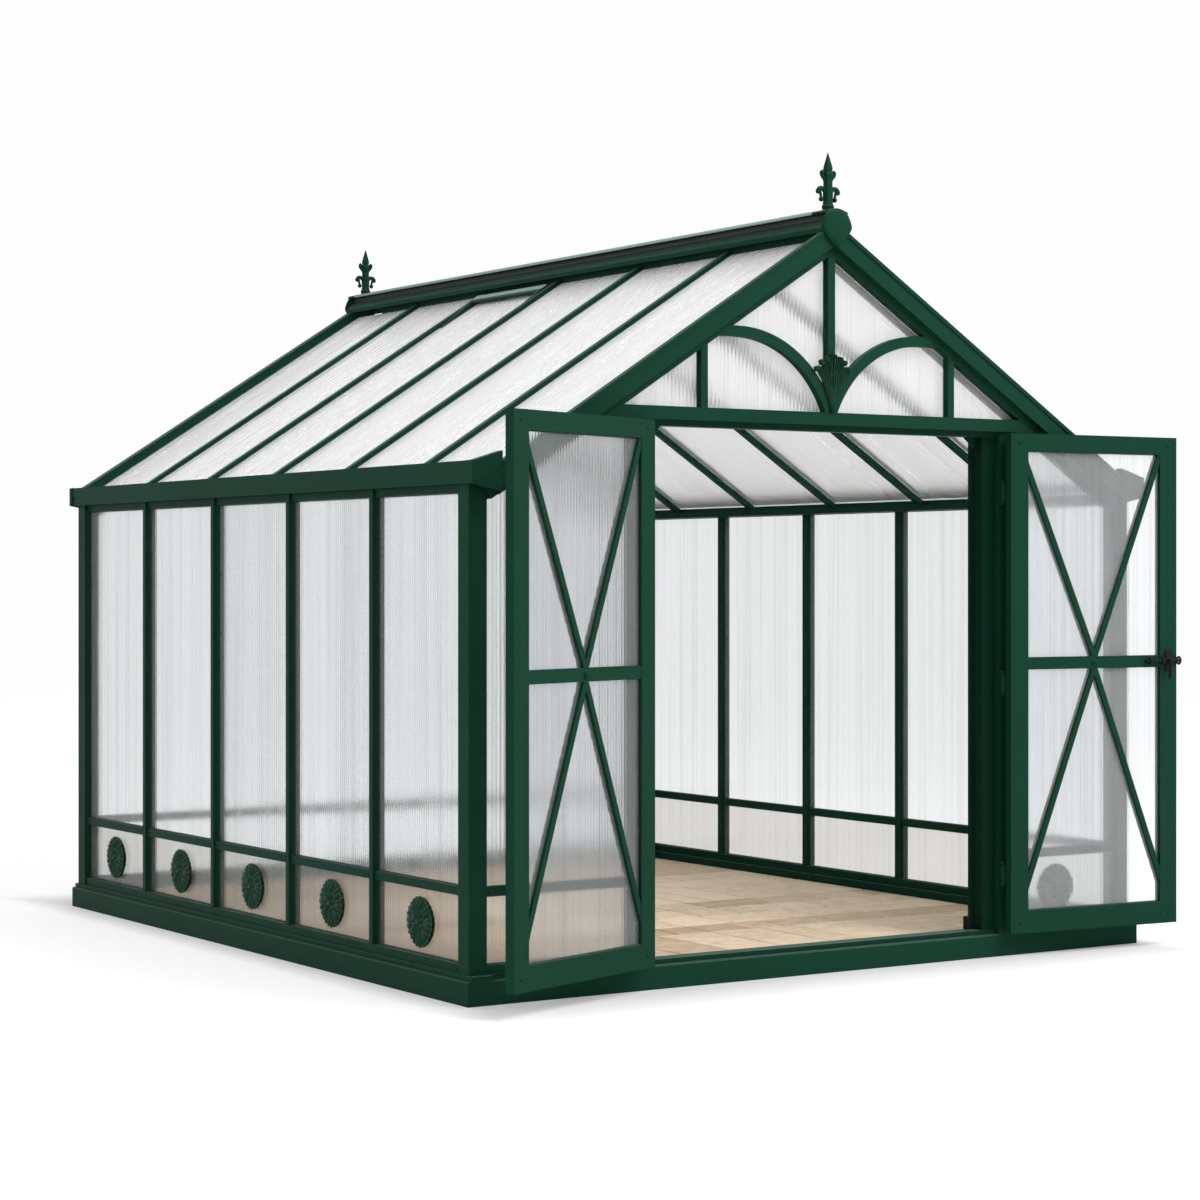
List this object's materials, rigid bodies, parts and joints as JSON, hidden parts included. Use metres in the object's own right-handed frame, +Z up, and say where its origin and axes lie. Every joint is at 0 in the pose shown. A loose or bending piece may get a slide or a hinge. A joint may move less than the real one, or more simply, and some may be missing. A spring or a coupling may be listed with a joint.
{
  "type": "greenhouse",
  "caption": "Gabled garden greenhouse with twin-wall sheets in a slim metal frame, open double doors, ridge finials, gable tracery and cast rosettes.",
  "frame": {"origin": "On the ground, at the middle of the base frame.", "axes": "+Z up, front with the doors towards -Y, right side towards +X as seen from the front."},
  "size_m": [3.1558, 3.9615, 2.9466],
  "materials": {
    "frame_green": "satin",
    "cast_green": "satin",
    "wall_sheet": "fluted",
    "roof_sheet": "fluted",
    "floor_tiles": "matte",
    "black_hardware": "satin"
  },
  "bodies": {
    "house": {"base_sides": "frame_green", "base_ends": "frame_green", "floor_deck": "floor_tiles", "corner_posts": "frame_green", "door_jambs": "frame_green", "mullions_left": "frame_green", "mullions_right": "frame_green", "mullions_back": "frame_green", "eave_beams": "frame_green", "rails_left": "frame_green", "rails_right": "frame_green", "rails_back": "frame_green", "rails_front": "frame_green", "gutters": "frame_green", "gutter_ends": "frame_green", "tie_beam_front": "frame_green", "tie_beam_back": "frame_green", "rafters_front": "frame_green", "rafters_back": "frame_green", "gable_tracery": "frame_green", "studs_back": "frame_green", "leaf_ornament": "cast_green", "ridge_beam": "frame_green", "roof_bars_left": "frame_green", "roof_bars_right": "frame_green", "barge_front": "frame_green", "barge_back": "frame_green", "ridge_cap": "frame_green", "ridge_ends": "cast_green", "finials": "cast_green", "rosettes_left": "cast_green", "rosettes_front": "cast_green", "panels_left": "wall_sheet", "panels_right": "wall_sheet", "panels_back": "wall_sheet", "panels_front": "wall_sheet", "gable_panel_front": "wall_sheet", "gable_panel_back": "wall_sheet", "roof_panels_left": "roof_sheet", "roof_panels_right": "roof_sheet", "roof_vent": "frame_green", "hinge_strips": "cast_green", "foot_keepers": "black_hardware"},
    "door_left": {"door_left_frame": "frame_green", "door_left_braces": "frame_green", "door_left_panel": "wall_sheet", "door_left_hinges": "cast_green"},
    "door_right": {"door_right_frame": "frame_green", "door_right_braces": "frame_green", "door_right_panel": "wall_sheet", "door_right_hinges": "cast_green", "door_latch": "black_hardware"}
  },
  "joints": [
    {"name": "door_left_hinge", "type": "hinge", "parent": "house", "child": "door_left", "pos_m": [-0.802, -1.718, 1], "axis": [0, 0, 1], "range_deg": [-16, 158.8]},
    {"name": "door_right_hinge", "type": "hinge", "parent": "house", "child": "door_right", "pos_m": [0.802, -1.718, 1], "axis": [0, 0, 1], "range_deg": [-175.5, 0]}
  ]
}
